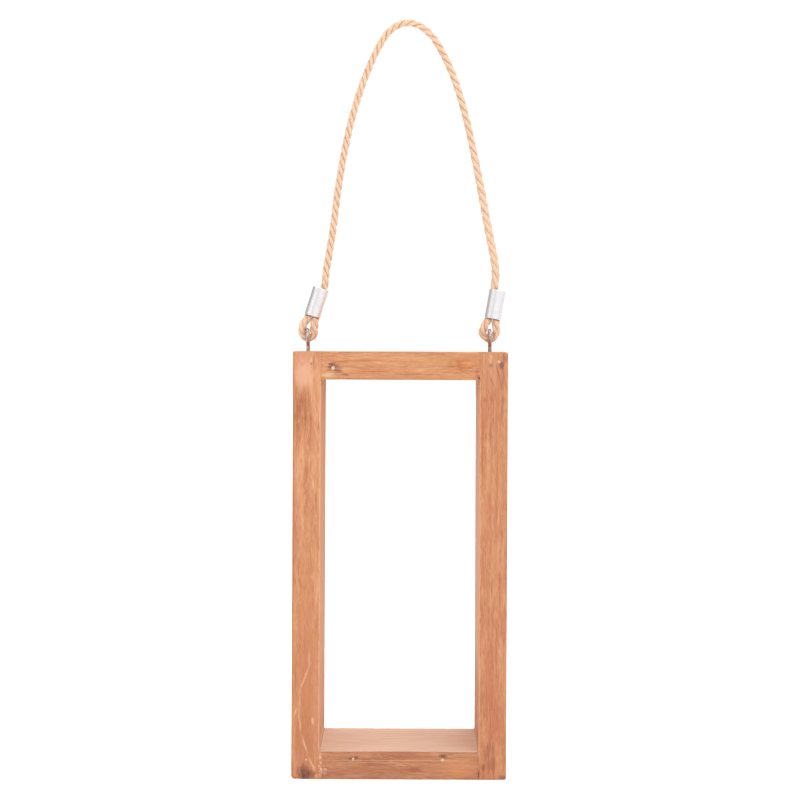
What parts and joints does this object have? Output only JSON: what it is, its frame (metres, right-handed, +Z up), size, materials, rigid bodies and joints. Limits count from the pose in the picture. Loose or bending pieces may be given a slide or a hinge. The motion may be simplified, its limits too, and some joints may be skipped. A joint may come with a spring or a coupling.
{
  "type": "hanging lantern",
  "caption": "Open upright wooden box lantern with butt-jointed boards, screw eyes and an arched rope handle with crimped end loops.",
  "frame": {"origin": "bottom centre of the wooden box", "axes": "+X to the right, +Y to the back, +Z up; the box is open towards -Y and +Y"},
  "size_m": [0.16, 0.095, 0.5724],
  "materials": {
    "side_board_wood": "matt stained pine, worn edges",
    "short_board_wood": "matt stained pine, worn edges",
    "screw_eye_steel": "dull, slightly tarnished",
    "rope_fibre": "natural three-strand sisal, dry",
    "ferrule_aluminium": "satin, crimped",
    "nail_steel": "plain bright",
    "wood_filler": "matt filler, sanded flush"
  },
  "bodies": {
    "box": {"left_side_board": "side_board_wood", "right_side_board": "side_board_wood", "top_board": "short_board_wood", "bottom_board": "short_board_wood", "left_screw_eye": "screw_eye_steel", "right_screw_eye": "screw_eye_steel", "top_left_nails": "nail_steel", "top_right_nails": "nail_steel", "bottom_left_nails": "nail_steel", "bottom_right_nails": "nail_steel", "top_left_brads": "nail_steel", "top_right_brads": "nail_steel", "top_board_brad": "nail_steel", "bottom_left_brad": "nail_steel", "bottom_board_brads": "nail_steel", "left_side_fillers": "wood_filler", "right_side_fillers": "wood_filler", "front_fillers": "wood_filler"},
    "handle": {"rope_handle": "rope_fibre", "left_ferrule": "ferrule_aluminium", "right_ferrule": "ferrule_aluminium"}
  },
  "joints": [
    {"name": "handle_swing", "type": "hinge", "parent": "box", "child": "handle", "pos_m": [0, 0, 0.329], "axis": [1, 0, 0], "range_deg": [-98, 98]}
  ]
}
